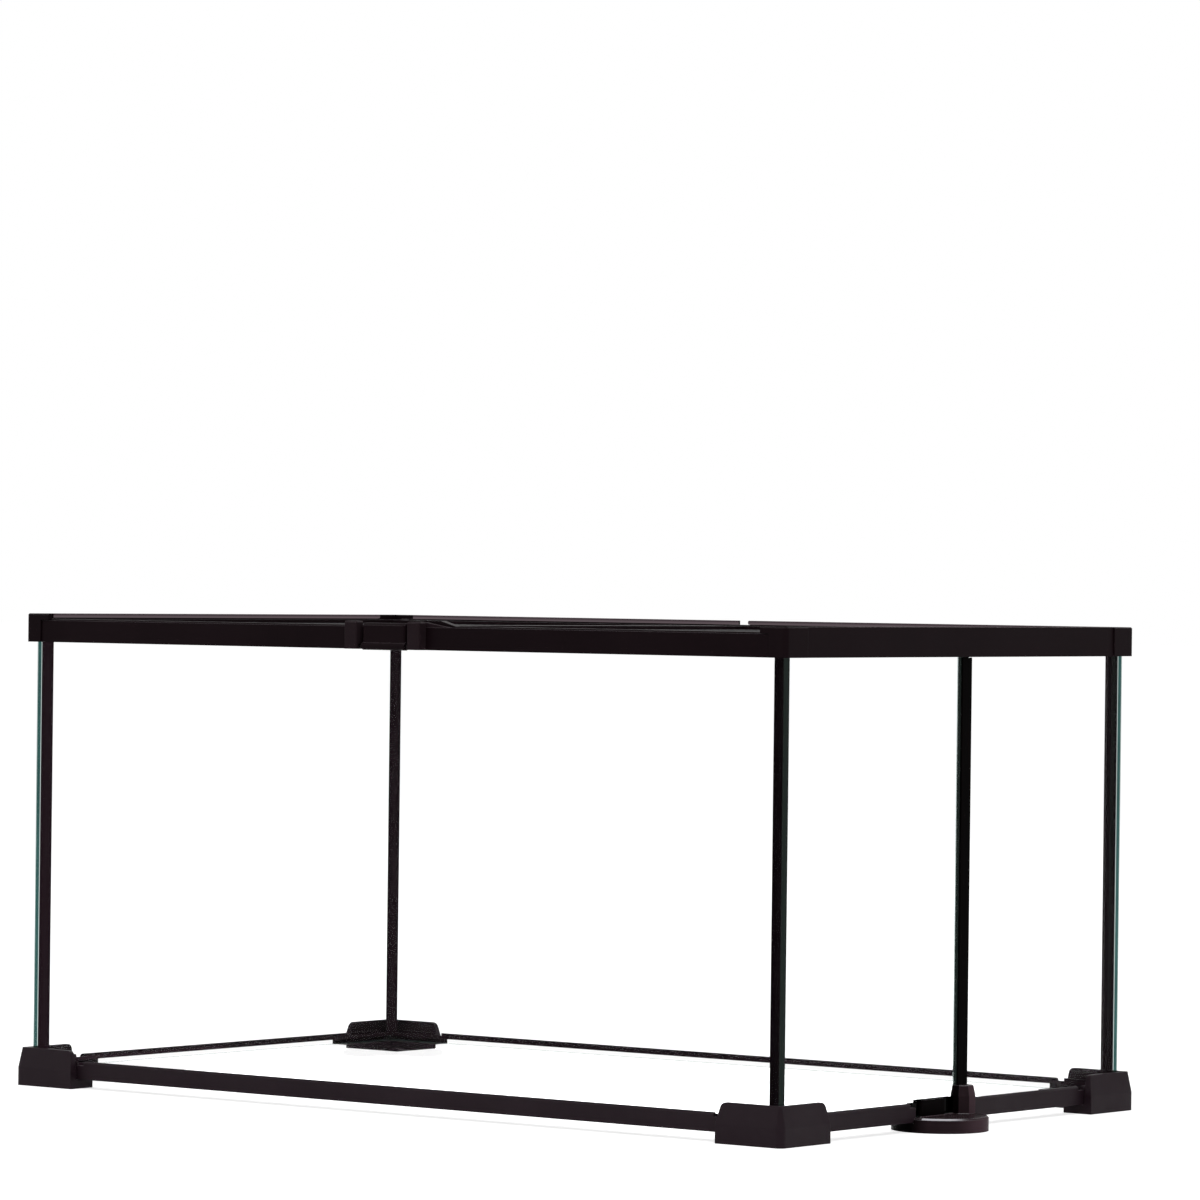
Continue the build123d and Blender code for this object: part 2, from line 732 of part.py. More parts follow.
def make_lid(name, side):
    """Flat frame with a groove for the mesh, and two eyes along the back edge."""
    x0, x1 = sorted((side * lid_inner_x, side * lid_outer_x))
    mid = ((x0 + x1) / 2, (lid_front_y + lid_back_y) / 2)
    size_x, size_y = x1 - x0, lid_back_y - lid_front_y
    window_x, window_y = size_x - 2 * lid_border, size_y - 2 * lid_border
    groove_x, groove_y = window_x + 2 * mesh_edge, window_y + 2 * mesh_edge
    mesh_bottom = lid_bottom + mesh_height

    with BuildPart() as lid:
        with BuildSketch(Plane.XY.offset(lid_bottom)):
            with Locations(mid):
                RectangleRounded(size_x, size_y, lid_corner_radius)
                Rectangle(window_x, window_y, mode=Mode.SUBTRACT)
        extrude(amount=lid_thickness)
        upper = lid.faces().sort_by(Axis.Z)[-1]
        chamfer(upper.outer_wire().edges(), length=lid_bevel)
        with BuildSketch(Plane.XY.offset(mesh_bottom)):
            with Locations(mid):
                Rectangle(groove_x, groove_y)
        extrude(amount=mesh_thickness, mode=Mode.SUBTRACT)
        for k0, k1 in (
            (inner_knuckle, inner_knuckle + knuckle_length),
            (outer_knuckle - knuckle_length, outer_knuckle),
        ):
            a, b = sorted((side * k0, side * k1))
            add(knuckle(a, b))
        if side > 0:
            # Finger tab on the front edge, sloping down to the right.
            start = lid_inner_x + lid_corner_radius
            ramp_end = start + tab_flat + tab_ramp
            with BuildSketch(Plane.XZ.offset(-lid_front_y)):
                with BuildLine():
                    Polyline(
                        (start, lid_top - tab_root),
                        (start, lid_top + tab_height),
                        (start + tab_flat, lid_top + tab_height),
                        (ramp_end, lid_top - tab_root + tab_toe),
                        (ramp_end, lid_top - tab_root),
                        close=True,
                    )
                make_face()
            extrude(amount=-tab_depth)
    parts[name + "_frame"] = lid

    pitch_x, pitch_y = window_x / mesh_columns, window_y / mesh_rows
    with BuildPart() as mesh:
        with BuildSketch(Plane.XY.offset(mesh_bottom)):
            with Locations(mid):
                Rectangle(groove_x, groove_y)
                with GridLocations(pitch_x, pitch_y, mesh_columns, mesh_rows):
                    Rectangle(pitch_x - mesh_bar, pitch_y - mesh_bar, mode=Mode.SUBTRACT)
        extrude(amount=mesh_thickness)
    parts[name + "_mesh"] = mesh


# --- Latch --------------------------------------------------------------------------
lock_pin_y = -(half_y + flap_gap + lock_barrel)
lock_pin_z = frame_bottom + lock_pin_rise
ear_inner = ear_outer - ear_width


def make_latch():
    ear_front = -(half_y + ear_depth)
    ear_top = lip_top + ear_rise
    back = -half_y + lock_plate
    with BuildPart() as lock_housing:
        add(block(-ear_outer, ear_outer, -half_y, back, frame_bottom, lip_top))
        for side in (-1, 1):
            x0, x1 = sorted((side * ear_inner, side * ear_outer))
            add(block(x0, x1, ear_front, -half_y, frame_bottom, ear_top))
        upright = lock_housing.edges().filter_by(Axis.Z).group_by(Axis.Y)[0]
        fillet(upright, radius=ear_edge_radius)
        top_front = (
            lock_housing.faces().sort_by(Axis.Z)[-2:].edges().filter_by(Axis.X).group_by(Axis.Y)[0]
        )
        chamfer(top_front, length=ear_bevel)
        # Slope from the right ear down to the lip of the front wall.
        root = ear_outer - lock_ramp_root
        slope_top = ear_top - lock_ramp_step
        slope = [(root, lip_top), (ear_outer + lock_ramp, lip_top),
                 (ear_outer, slope_top), (root, slope_top)]
        add(bar_along_y(slope, -half_y, -half_y + wall - lock_ramp_step))
        # Blind cross holes for the pin.
        with BuildSketch(Plane.YZ.offset(-ear_outer + ear_wall)):
            with Locations((lock_pin_y, lock_pin_z)):
                Circle(lock_pin_radius + pin_clearance)
        extrude(amount=2 * (ear_outer - ear_wall), mode=Mode.SUBTRACT)
    parts["lock_housing"] = lock_housing

    with BuildPart() as lock_pin:
        with BuildSketch(Plane.YZ.offset(-ear_outer + ear_wall + touch)):
            with Locations((lock_pin_y, lock_pin_z)):
                Circle(lock_pin_radius)
        extrude(amount=2 * (ear_outer - ear_wall - touch))
    parts["lock_pin"] = lock_pin

    flap_back = -(half_y + flap_gap)
    flap_front = flap_back - flap_thickness
    bead_bottom = lip_top + flap_top_gap
    flap_top = bead_bottom + flap_bead
    bead_back = lid_front_y - fit
    with BuildPart() as lock_flap:
        with BuildSketch(Plane.YZ.offset(-flap_width / 2)) as side:
            with BuildLine():
                Polyline(
                    (flap_back, lock_pin_z),
                    (flap_back, bead_bottom),
                    (bead_back - flap_edge, bead_bottom),
                    (bead_back, bead_bottom + flap_edge),
                    (bead_back, flap_top - flap_edge),
                    (bead_back - flap_edge, flap_top),
                    (flap_front + flap_nose, flap_top),
                    (flap_front, flap_top - flap_nose),
                    (flap_front, lock_pin_z),
                    close=True,
                )
            make_face()
            with Locations((lock_pin_y, lock_pin_z)):
                Circle(lock_barrel)
                Circle(lock_pin_radius + pin_clearance, mode=Mode.SUBTRACT)
        extrude(amount=flap_width)
        front_sides = (
            lock_flap.faces().filter_by(Axis.Y).sort_by(Axis.Y)[0].edges().filter_by(Axis.Z)
        )
        fillet(front_sides, radius=flap_side_radius)
    parts["lock_flap"] = lock_flap


make_panes()
make_silicone()
make_bottom_rails()
make_feet()
make_side_foot()
make_side_post()
make_top_rails()
make_corner_caps()
make_cross_bar()
make_hinges()
make_lid("left_lid", -1)
make_lid("right_lid", 1)
make_latch()

os.makedirs("parts", exist_ok=True)
for name, built in parts.items():
    built.part.label = name
    export_step(built.part, "parts/" + name + ".step")
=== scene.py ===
# Glass tank with a plastic frame: finishes for every part, woven wire for the lids, stage, lamps and camera.
import math

import bpy
from mathutils import Matrix, Vector


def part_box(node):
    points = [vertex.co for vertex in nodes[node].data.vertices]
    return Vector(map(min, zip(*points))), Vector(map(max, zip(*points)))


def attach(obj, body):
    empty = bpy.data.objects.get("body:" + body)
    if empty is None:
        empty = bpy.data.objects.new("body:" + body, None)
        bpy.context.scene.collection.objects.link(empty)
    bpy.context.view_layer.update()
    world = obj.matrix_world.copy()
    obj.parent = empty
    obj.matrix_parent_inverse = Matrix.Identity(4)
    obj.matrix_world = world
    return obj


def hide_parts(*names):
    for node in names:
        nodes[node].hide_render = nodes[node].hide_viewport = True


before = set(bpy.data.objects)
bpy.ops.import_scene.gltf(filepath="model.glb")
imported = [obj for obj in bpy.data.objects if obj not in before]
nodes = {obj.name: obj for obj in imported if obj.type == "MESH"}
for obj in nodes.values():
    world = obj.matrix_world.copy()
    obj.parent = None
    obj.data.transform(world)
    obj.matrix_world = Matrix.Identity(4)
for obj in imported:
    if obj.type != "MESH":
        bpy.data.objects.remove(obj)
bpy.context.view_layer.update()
print("frame loaded:", len(nodes), "nodes")

black, white = (0, 0, 0, 1), (1, 1, 1, 1)


# small helpers for node trees

def addNode(tree, kind, inputs=None, **settings):
    # settings come first, as a group node has no sockets until it has its tree
    made = tree.nodes.new(kind)
    for key, value in settings.items():
        setattr(made, key, value)
    for key, value in (inputs or {}).items():
        plug(tree, value, made.inputs[key])
    return made


def plug(tree, value, socket):
    # a value is a socket to link, a node (its first output), or a plain setting
    if isinstance(value, bpy.types.NodeSocket):
        tree.links.new(value, socket)
    elif isinstance(value, bpy.types.Node):
        tree.links.new(value.outputs[0], socket)
    else:
        socket.default_value = value


def emptyTree(owner):
    owner.use_nodes = True
    owner.node_tree.nodes.clear()
    return owner.node_tree


def newGroup(name, kind, inputs, outputs):
    group = bpy.data.node_groups.new(name, kind)
    for way, sockets in (("INPUT", inputs), ("OUTPUT", outputs)):
        for label, socketType in sockets.items():
            group.interface.new_socket(name=label, in_out=way, socket_type="NodeSocket" + socketType)
    return group, group.nodes.new("NodeGroupInput"), group.nodes.new("NodeGroupOutput")


def maths(tree, operation, a, b=0.0, clamp=False):
    return addNode(tree, "ShaderNodeMath", {0: a, 1: b}, operation=operation, use_clamp=clamp)


def above(tree, value, limit):
    return maths(tree, "GREATER_THAN", value, limit)


def below(tree, value, limit):
    return maths(tree, "LESS_THAN", value, limit)


def awayFrom(tree, value, middle=0.0):
    return maths(tree, "ABSOLUTE", maths(tree, "SUBTRACT", value, middle))


def allOf(tree, tests):
    mask = tests[0]
    for test in tests[1:]:
        mask = maths(tree, "MULTIPLY", mask, test)
    return mask


def eitherOf(tree, a, b):
    return maths(tree, "MAXIMUM", a, b)


def ramp(tree, value, low, high, start=0.0, end=1.0):
    # maps low..high of a value to start..end, smoothly
    return addNode(tree, "ShaderNodeMapRange",
                   {"Value": value, "From Min": low, "From Max": high, "To Min": start, "To Max": end},
                   interpolation_type="SMOOTHSTEP")


def blendColour(tree, factor, a, b):
    # by number, as the node has sockets of the same names for floats, vectors and turns
    made = addNode(tree, "ShaderNodeMix", data_type="RGBA")
    plug(tree, factor, made.inputs[0])
    plug(tree, a, made.inputs[6])
    plug(tree, b, made.inputs[7])
    return made.outputs[2]


def noise(tree, place, scale, detail, rough):
    return addNode(tree, "ShaderNodeTexNoise",
                   {"Vector": place, "Scale": scale, "Detail": detail, "Roughness": rough}).outputs[0]


def dotProduct(tree, a, b):
    return addNode(tree, "ShaderNodeVectorMath", {0: a, 1: b}, operation="DOT_PRODUCT").outputs["Value"]


def objectPlace(tree):
    return addNode(tree, "ShaderNodeTexCoord").outputs["Object"]


def partsOf(tree, vector):
    return addNode(tree, "ShaderNodeSeparateXYZ", {0: vector}).outputs


# shader groups that several finishes use; a noise is given as scale, detail and roughness

skinPattern = {
    "cloud": (14.0, 4.0, 0.55), "cloudRange": (0.35, 0.7), "patch": (55.0, 2.0, 0.5), "patchPull": 3.0,
    "grainDetail": 2.0, "grainRough": 0.6,
}


def makeMouldedSkin():
    # colour drift, satin patches and fine grain of moulded plastic
    group, given, out = newGroup(
        "mouldedSkin", "ShaderNodeTree",
        {"Colour": "Color", "Drift Colour": "Color", "Roughness": "Float", "Roughness Drift": "Float",
         "Grain Scale": "Float"},
        {"Colour": "Color", "Roughness": "Float", "Height": "Float"})
    place = objectPlace(group)
    cloud = noise(group, place, *skinPattern["cloud"])
    patch = noise(group, place, *skinPattern["patch"])
    grain = noise(group, place, given.outputs["Grain Scale"], skinPattern["grainDetail"],
                  skinPattern["grainRough"])
    colour = blendColour(group, ramp(group, cloud, *skinPattern["cloudRange"]), given.outputs["Colour"],
                         given.outputs["Drift Colour"])
    centred = maths(group, "SUBTRACT", patch, 0.5)
    wander = maths(group, "MULTIPLY", centred, given.outputs["Roughness Drift"])
    pulled = maths(group, "MULTIPLY", wander, skinPattern["patchPull"])
    plug(group, colour, out.inputs["Colour"])
    plug(group, maths(group, "ADD", given.outputs["Roughness"], pulled), out.inputs["Roughness"])
    plug(group, grain, out.inputs["Height"])
    return group


dustPattern = {"colour": (0.2, 0.19, 0.18, 1), "broken": (90.0, 5.0, 0.65), "brokenRange": (0.35, 0.75),
               "upRange": (0.5, 0.95)}


def makeSettledDust():
    # faint pale film on faces that look upwards, broken up so that it never reads as a flat coat
    group, given, out = newGroup(
        "settledDust", "ShaderNodeTree",
        {"Colour": "Color", "Dust Colour": "Color", "Amount": "Float"}, {"Colour": "Color"})
    normal = addNode(group, "ShaderNodeNewGeometry").outputs["True Normal"]
    upward = ramp(group, partsOf(group, normal)[2], *dustPattern["upRange"])
    cloud = noise(group, objectPlace(group), *dustPattern["broken"])
    broken = ramp(group, cloud, *dustPattern["brokenRange"])
    mask = maths(group, "MULTIPLY", upward, broken)
    amount = maths(group, "MULTIPLY", mask, given.outputs["Amount"], clamp=True)
    plug(group, blendColour(group, amount, given.outputs["Colour"], given.outputs["Dust Colour"]),
         out.inputs["Colour"])
    return group


edgePattern = {"turnRange": (0.995, 0.85), "upRange": (0.1, 0.5), "samples": 4}


def makeEdgeLight():
    # pale line where light from above catches a rounded upper edge
    group, given, out = newGroup(
        "edgeLight", "ShaderNodeTree",
        {"Colour": "Color", "Highlight Colour": "Color", "Radius": "Float"}, {"Colour": "Color"})
    flat = addNode(group, "ShaderNodeNewGeometry").outputs["True Normal"]
    rounded = addNode(group, "ShaderNodeBevel", {"Radius": given.outputs["Radius"]},
                      samples=edgePattern["samples"])
    turned = ramp(group, dotProduct(group, flat, rounded), *edgePattern["turnRange"])
    upward = ramp(group, partsOf(group, rounded)[2], *edgePattern["upRange"])
    mask = maths(group, "MULTIPLY", turned, upward, clamp=True)
    plug(group, blendColour(group, mask, given.outputs["Colour"], given.outputs["Highlight Colour"]),
         out.inputs["Colour"])
    return group


mouldedSkin = makeMouldedSkin()
settledDust = makeSettledDust()
edgeLight = makeEdgeLight()


def newMaterial(name):
    made = bpy.data.materials.new(name)
    tree = emptyTree(made)
    shader = tree.nodes.new("ShaderNodeBsdfPrincipled")
    out = tree.nodes.new("ShaderNodeOutputMaterial")
    tree.links.new(shader.outputs[0], out.inputs["Surface"])
    return made, tree, shader


def glowWhere(made, tree, shader, mask, colour, elsewhere=black):
    # a glow that is only seen: it is left out of the sampling of lights
    plug(tree, blendColour(tree, mask, elsewhere, colour), shader.inputs["Emission Color"])
    shader.inputs["Emission Strength"].default_value = 1.0
    made.cycles.emission_sampling = "NONE"


# plastics

# each plastic look's edge colour is the painted highlight that edgeLight lays along rounded upper edges:
# brighter on the right rail, almost none on the lids
topLook = {
    "colour": (0.0072, 0.0036, 0.0048, 1), "drift": (0.0096, 0.0050, 0.0065, 1),
    "edge": (0.11, 0.09, 0.10, 1), "roughness": 0.40, "roughnessDrift": 0.08, "grainScale": 2600.0,
    "grainStrength": 0.25, "grainDepth": 0.00006, "edgeRadius": 0.0005, "specular": 0.02, "dust": 0.03,
}
rightRailHighlightLook = dict(topLook, edge=(0.24, 0.20, 0.21, 1))
lidLook = dict(topLook, edge=(0.02, 0.014, 0.016, 1))
housingLook = dict(topLook, colour=(0.0155, 0.0095, 0.0115, 1), drift=(0.0190, 0.0120, 0.0145, 1))
baseLook = {
    "colour": (0.0135, 0.0070, 0.0105, 1), "drift": (0.0180, 0.0105, 0.0145, 1),
    "edge": (0.035, 0.026, 0.031, 1), "roughness": 0.48, "roughnessDrift": 0.10, "grainScale": 1900.0,
    "grainStrength": 0.35, "grainDepth": 0.00009, "edgeRadius": 0.0006, "specular": 0.08, "dust": 0.04,
}
postLook = {
    "colour": (0.0010, 0.0006, 0.0007, 1), "drift": (0.0018, 0.0011, 0.0013, 1),
    "edge": (0.01, 0.008, 0.009, 1), "roughness": 0.30, "roughnessDrift": 0.05, "grainScale": 2600.0,
    "grainStrength": 0.10, "grainDepth": 0.00003, "edgeRadius": 0.0003, "specular": 0.006, "dust": 0.0,
}


def plasticParts(name, look):
    made, tree, shader = newMaterial(name)
    skin = addNode(tree, "ShaderNodeGroup",
                   {"Colour": look["colour"], "Drift Colour": look["drift"], "Roughness": look["roughness"],
                    "Roughness Drift": look["roughnessDrift"], "Grain Scale": look["grainScale"]},
                   node_tree=mouldedSkin)
    dust = addNode(tree, "ShaderNodeGroup",
                   {"Colour": skin.outputs["Colour"], "Dust Colour": dustPattern["colour"],
                    "Amount": look["dust"]}, node_tree=settledDust)
    lit = addNode(tree, "ShaderNodeGroup", {"Colour": dust.outputs["Colour"], "Highlight Colour": look["edge"],
                                            "Radius": look["edgeRadius"]}, node_tree=edgeLight)
    rounded = addNode(tree, "ShaderNodeBevel", {"Radius": look["edgeRadius"]}, samples=edgePattern["samples"])
    bump = addNode(tree, "ShaderNodeBump", {"Strength": look["grainStrength"], "Distance": look["grainDepth"],
                                            "Height": skin.outputs["Height"], "Normal": rounded})
    plug(tree, lit.outputs["Colour"], shader.inputs["Base Color"])
    plug(tree, skin.outputs["Roughness"], shader.inputs["Roughness"])
    plug(tree, bump, shader.inputs["Normal"])
    shader.inputs["Specular IOR Level"].default_value = look["specular"]
    return made, tree, shader


def plasticFinish(name, look):
    return plasticParts(name, look)[0]


# painted white glow on the bottom rails' inner faces
railGlowLook = {"colour": white, "wall": 0.0013, "skin": 0.00001, "clearX": 0.009, "clearY": 0.017}


def railGlowFinish():
    # painted light: a rail's inner faces between the feet, up to the floor pane, glow white, so that seen
    # through that pane they read as the pale room
    made, tree, shader = plasticParts("railPlastic", baseLook)
    place = partsOf(tree, objectPlace(tree))
    acrossX, acrossY = (awayFrom(tree, place[axis]) for axis in range(2))
    outX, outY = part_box("right_rear_bottom_rail")[1][0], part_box("back_bottom_rail")[1][1]
    underside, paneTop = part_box("back_bottom_rail")[0][2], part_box("floor_glass")[1][2]
    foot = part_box("back_right_foot")[0]
    betweenFeet = eitherOf(tree, below(tree, acrossX, foot[0] - railGlowLook["clearX"]),
                           below(tree, acrossY, foot[1] - railGlowLook["clearY"]))
    mask = allOf(tree, (
        betweenFeet,
        below(tree, acrossX, outX - railGlowLook["wall"]),
        below(tree, acrossY, outY - railGlowLook["wall"]),
        above(tree, place[2], underside + railGlowLook["skin"]),
        below(tree, place[2], paneTop - railGlowLook["skin"]),
    ))
    glowWhere(made, tree, shader, mask, railGlowLook["colour"])
    return made


rimGlowLook = {"low": (0.100, 0.078, 0.086, 1), "high": (0.040, 0.028, 0.033, 1), "wall": 0.0013,
           "depth": 0.0022, "turn": 0.0010, "soft": 0.0004}


def rimFinish():
    # painted light: the far rim's inner face glows as if lit through the open mesh, and more of it low down
    # than at its top
    made, tree, shader = plasticParts("rimPlastic", topLook)
    place = partsOf(tree, objectPlace(tree))
    outX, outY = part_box("right_top_rail")[1][0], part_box("back_top_rail")[1][1]
    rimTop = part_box("back_top_rail")[1][2]
    turn = rimTop - rimGlowLook["turn"]
    inside = allOf(tree, (
        below(tree, awayFrom(tree, place[0]), outX - rimGlowLook["wall"]),
        below(tree, awayFrom(tree, place[1]), outY - rimGlowLook["wall"]),
        above(tree, place[2], rimTop - rimGlowLook["depth"]),
    ))
    upper = ramp(tree, place[2], turn - rimGlowLook["soft"], turn + rimGlowLook["soft"])
    glowWhere(made, tree, shader, inside, blendColour(tree, upper, rimGlowLook["low"], rimGlowLook["high"]))
    return made


discLook = {
    "colour": (0.0225, 0.0138, 0.0165, 1), "drift": (0.0290, 0.0178, 0.0212, 1),
    "edge": (0.50, 0.49, 0.51, 1), "roughness": 0.24, "roughnessDrift": 0.04, "grainScale": 3000.0,
    "grainStrength": 0.08, "grainDepth": 0.00003, "edgeRadius": 0.0006, "specular": 0.006, "dust": 0.04,
}
bossLook = {
    "shade": 0.12, "lift": 3.4, "litSide": (0.866, 0.5, 0.0), "litRange": (0.35, 1.0),
    "shadedRange": (-0.1, -0.55), "discTop": 0.0073, "rise": 0.0003, "end": 0.005,
    "glint": (0.42, 0.42, 0.45, 1), "glintWidth": 0.00092, "glintDrop": 0.00076, "glintStart": 0.0075,
    "glintEnd": 0.0165, "glintSide": 0.0055,
}


def scaledColour(colour, factor):
    return tuple(value * factor for value in colour[:3]) + (1,)


def rimGlint(tree, place):
    # painted glint: a highlight along a short stretch of the disc's upper rim, at its front
    low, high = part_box("side_foot")
    discTop, discRadius = bossLook["discTop"], (high[0] - low[0]) / 2
    acrossX = maths(tree, "SUBTRACT", place[0], high[0] - discRadius)
    acrossY = maths(tree, "SUBTRACT", place[1], low[1] + discRadius)
    reach = maths(tree, "ADD", maths(tree, "MULTIPLY", acrossX, acrossX),
                  maths(tree, "MULTIPLY", acrossY, acrossY))
    return allOf(tree, (
        above(tree, reach, (discRadius - bossLook["glintWidth"]) ** 2),
        above(tree, place[2], discTop - bossLook["glintDrop"]),
        below(tree, place[2], discTop + bossLook["rise"]),
        above(tree, acrossX, bossLook["glintSide"]),
        ramp(tree, place[1], low[1] + bossLook["glintEnd"], low[1] + bossLook["glintStart"]),
    ))


def discFinish():
    # painted shade darkens the boss in line with the rail and the faces turned away from the right, and
    # painted light makes the faces turned to the right paler
    made, tree, shader = plasticParts("discPlastic", discLook)
    coords = addNode(tree, "ShaderNodeTexCoord").outputs
    place = partsOf(tree, coords["Object"])
    # darker and paler copies of the disc's colour, for painted shade and painted light
    dark = scaledColour(discLook["colour"], bossLook["shade"])
    pale = scaledColour(discLook["colour"], bossLook["lift"])
    facing = dotProduct(tree, coords["Normal"], bossLook["litSide"])
    whole = shader.inputs["Base Color"].links[0].from_socket
    whole = blendColour(tree, ramp(tree, facing, *bossLook["litRange"]), whole, pale)
    whole = blendColour(tree, ramp(tree, facing, *bossLook["shadedRange"]), whole, dark)
    boss = allOf(tree, (above(tree, place[2], bossLook["discTop"] + bossLook["rise"]),
                        below(tree, place[1], -bossLook["end"])))
    plug(tree, blendColour(tree, boss, whole, dark), shader.inputs["Base Color"])
    glowWhere(made, tree, shader, rimGlint(tree, place), bossLook["glint"])
    return made


# glass

glassLook = {
    "face": (0.998, 1.0, 0.999, 1), "roughness": 0.0, "ior": 1.08, "edge": (0.0006, 0.0070, 0.0062, 1),
    "edgeDeep": (0.0003, 0.0042, 0.0038, 1), "edgeDepth": 0.0002, "ripple": (60.0, 3.0, 0.5),
    "rippleRange": (0.3, 0.7), "arris": (0.22, 0.28, 0.27, 1), "arrisWidth": 0.0006,
    "pipedGlow": (0.011, 0.016, 0.014, 1),
}


def clearGlass(name, ior):
    made, tree, shader = newMaterial(name + "Clear")
    shader.inputs["Base Color"].default_value = glassLook["face"]
    shader.inputs["Roughness"].default_value = glassLook["roughness"]
    shader.inputs["IOR"].default_value = ior
    shader.inputs["Transmission Weight"].default_value = 1.0
    return made, tree, shader


def paneFinish(name, low, high, thin):
    # thin is the axis across the pane; the mask covers the narrow faces at the ends of the other two
    made, tree, shader = clearGlass(name, glassLook["ior"])
    place = objectPlace(tree)
    parts = partsOf(tree, place)
    middle = [(low[axis] + high[axis]) / 2 for axis in range(3)]
    half = [(high[axis] - low[axis]) / 2 for axis in range(3)]
    away = [awayFrom(tree, parts[axis], middle[axis]) for axis in range(3)]
    ends = [above(tree, away[axis], half[axis] - glassLook["edgeDepth"]) for axis in range(3) if axis != thin]
    edgeMask = eitherOf(tree, *ends)
    ripple = ramp(tree, noise(tree, place, *glassLook["ripple"]), *glassLook["rippleRange"])
    edgeColour = blendColour(tree, ripple, glassLook["edge"], glassLook["edgeDeep"])
    arris = above(tree, away[thin], half[thin] - glassLook["arrisWidth"])
    edgeColour = blendColour(tree, arris, edgeColour, glassLook["arris"])
    tint = blendColour(tree, edgeMask, glassLook["face"], edgeColour)
    if name == "right_front_glass":
        tint = blendColour(tree, backedArea(tree, parts), tint, backingLook["colour"])
    plug(tree, tint, shader.inputs["Base Color"])
    # painted glow at the edges, standing in for light that has run along inside the pane and leaves there
    glowWhere(made, tree, shader, edgeMask, glassLook["pipedGlow"])
    return made


backingLook = {"colour": black, "reach": 0.0065, "back": 0.0056, "top": 0.0157, "frontTop": 0.0144}


def backedArea(tree, parts):
    # black sealant on the pane behind the round foot's boss, as far as the collar
    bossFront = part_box("side_foot")[0][1] + backingLook["reach"]
    ahead = allOf(tree, (above(tree, parts[1], bossFront - backingLook["back"]),
                         below(tree, parts[2], backingLook["frontTop"])))
    beside = allOf(tree, (above(tree, parts[1], bossFront),
                          below(tree, parts[2], backingLook["top"])))
    return eitherOf(tree, ahead, beside)


floorGlassLook = {"ior": 1.003, "reflectionGlow": white, "clearX": 0.0284, "clearY": 0.0336, "grazing": (0.84, 0.90)}


def floorPaneFinish(name, low):
    # painted reflection: seen almost along its face its underside glows white like the pale room it would
    # mirror, except close in front of the feet
    made, tree, shader = clearGlass(name, floorGlassLook["ior"])
    place = partsOf(tree, objectPlace(tree))
    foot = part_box("back_right_foot")[0]
    clearOfFeet = eitherOf(tree, below(tree, awayFrom(tree, place[0]), foot[0] - floorGlassLook["clearX"]),
                           below(tree, awayFrom(tree, place[1]), foot[1] - floorGlassLook["clearY"]))
    grazing = addNode(tree, "ShaderNodeLayerWeight").outputs["Facing"]
    mask = allOf(tree, (
        clearOfFeet,
        below(tree, place[2], low[2] + glassLook["edgeDepth"]),
        ramp(tree, grazing, *floorGlassLook["grazing"]),
    ))
    glowWhere(made, tree, shader, mask, floorGlassLook["reflectionGlow"])
    return made


# silicone, wire and pins

siliconeLook = {
    "colour": (0.0070, 0.0036, 0.0052, 1), "drift": (0.0100, 0.0058, 0.0078, 1), "wave": (90.0, 2.0, 0.5),
    "waveDepth": 0.0002, "waveStrength": 0.1, "smear": (420.0, 2.0, 0.5), "smearRange": (0.3, 0.7),
    "roughness": (0.28, 0.42), "specular": 0.015, "leftGlow": (0.0125, 0.0066, 0.0094, 1),
    "rightGlow": (0.0030, 0.0018, 0.0024, 1),
}


def siliconeFinish():
    # smoothed by a finger, so it is glossy with slow waves along the bead
    made, tree, shader = newMaterial("blackSilicone")
    place = objectPlace(tree)
    wave = noise(tree, place, *siliconeLook["wave"])
    smear = noise(tree, place, *siliconeLook["smear"])
    bump = addNode(tree, "ShaderNodeBump", {"Strength": siliconeLook["waveStrength"],
                                            "Distance": siliconeLook["waveDepth"], "Height": wave})
    plug(tree, blendColour(tree, wave, siliconeLook["colour"], siliconeLook["drift"]),
         shader.inputs["Base Color"])
    plug(tree, ramp(tree, smear, *siliconeLook["smearRange"], *siliconeLook["roughness"]),
         shader.inputs["Roughness"])
    plug(tree, bump, shader.inputs["Normal"])
    shader.inputs["Specular IOR Level"].default_value = siliconeLook["specular"]
    # stands in for the light that the panes in front let through to it
    parts = partsOf(tree, place)
    frontLeft = allOf(tree, (below(tree, parts[0], 0.0), below(tree, parts[1], 0.0)))
    glowWhere(made, tree, shader, frontLeft, siliconeLook["leftGlow"], siliconeLook["rightGlow"])
    return made


wireLook = {"colour": (0.012, 0.011, 0.012, 1), "bare": (0.055, 0.052, 0.050, 1), "chips": (900.0, 3.0, 0.6),
            "chipRange": (0.58, 0.75), "roughness": (0.38, 0.53), "specular": 0.1}


def wireFinish():
    # black coated wire, a little paler where the coat is thin
    made, tree, shader = newMaterial("coatedWire")
    chips = ramp(tree, noise(tree, objectPlace(tree), *wireLook["chips"]), *wireLook["chipRange"])
    plug(tree, blendColour(tree, chips, wireLook["colour"], wireLook["bare"]), shader.inputs["Base Color"])
    plug(tree, ramp(tree, chips, 0.0, 1.0, *wireLook["roughness"]), shader.inputs["Roughness"])
    shader.inputs["Specular IOR Level"].default_value = wireLook["specular"]
    return made


pinLook = {"colour": (0.42, 0.41, 0.40, 1), "dark": (0.20, 0.19, 0.19, 1), "stretch": (0.02, 1.0, 1.0),
           "lines": (2200.0, 3.0, 0.5), "lineRange": (0.35, 0.65), "roughnessRange": (0.3, 0.7),
           "roughness": (0.30, 0.45)}
blackPinLook = dict(pinLook, colour=(0.014, 0.010, 0.011, 1), dark=(0.008, 0.006, 0.007, 1))


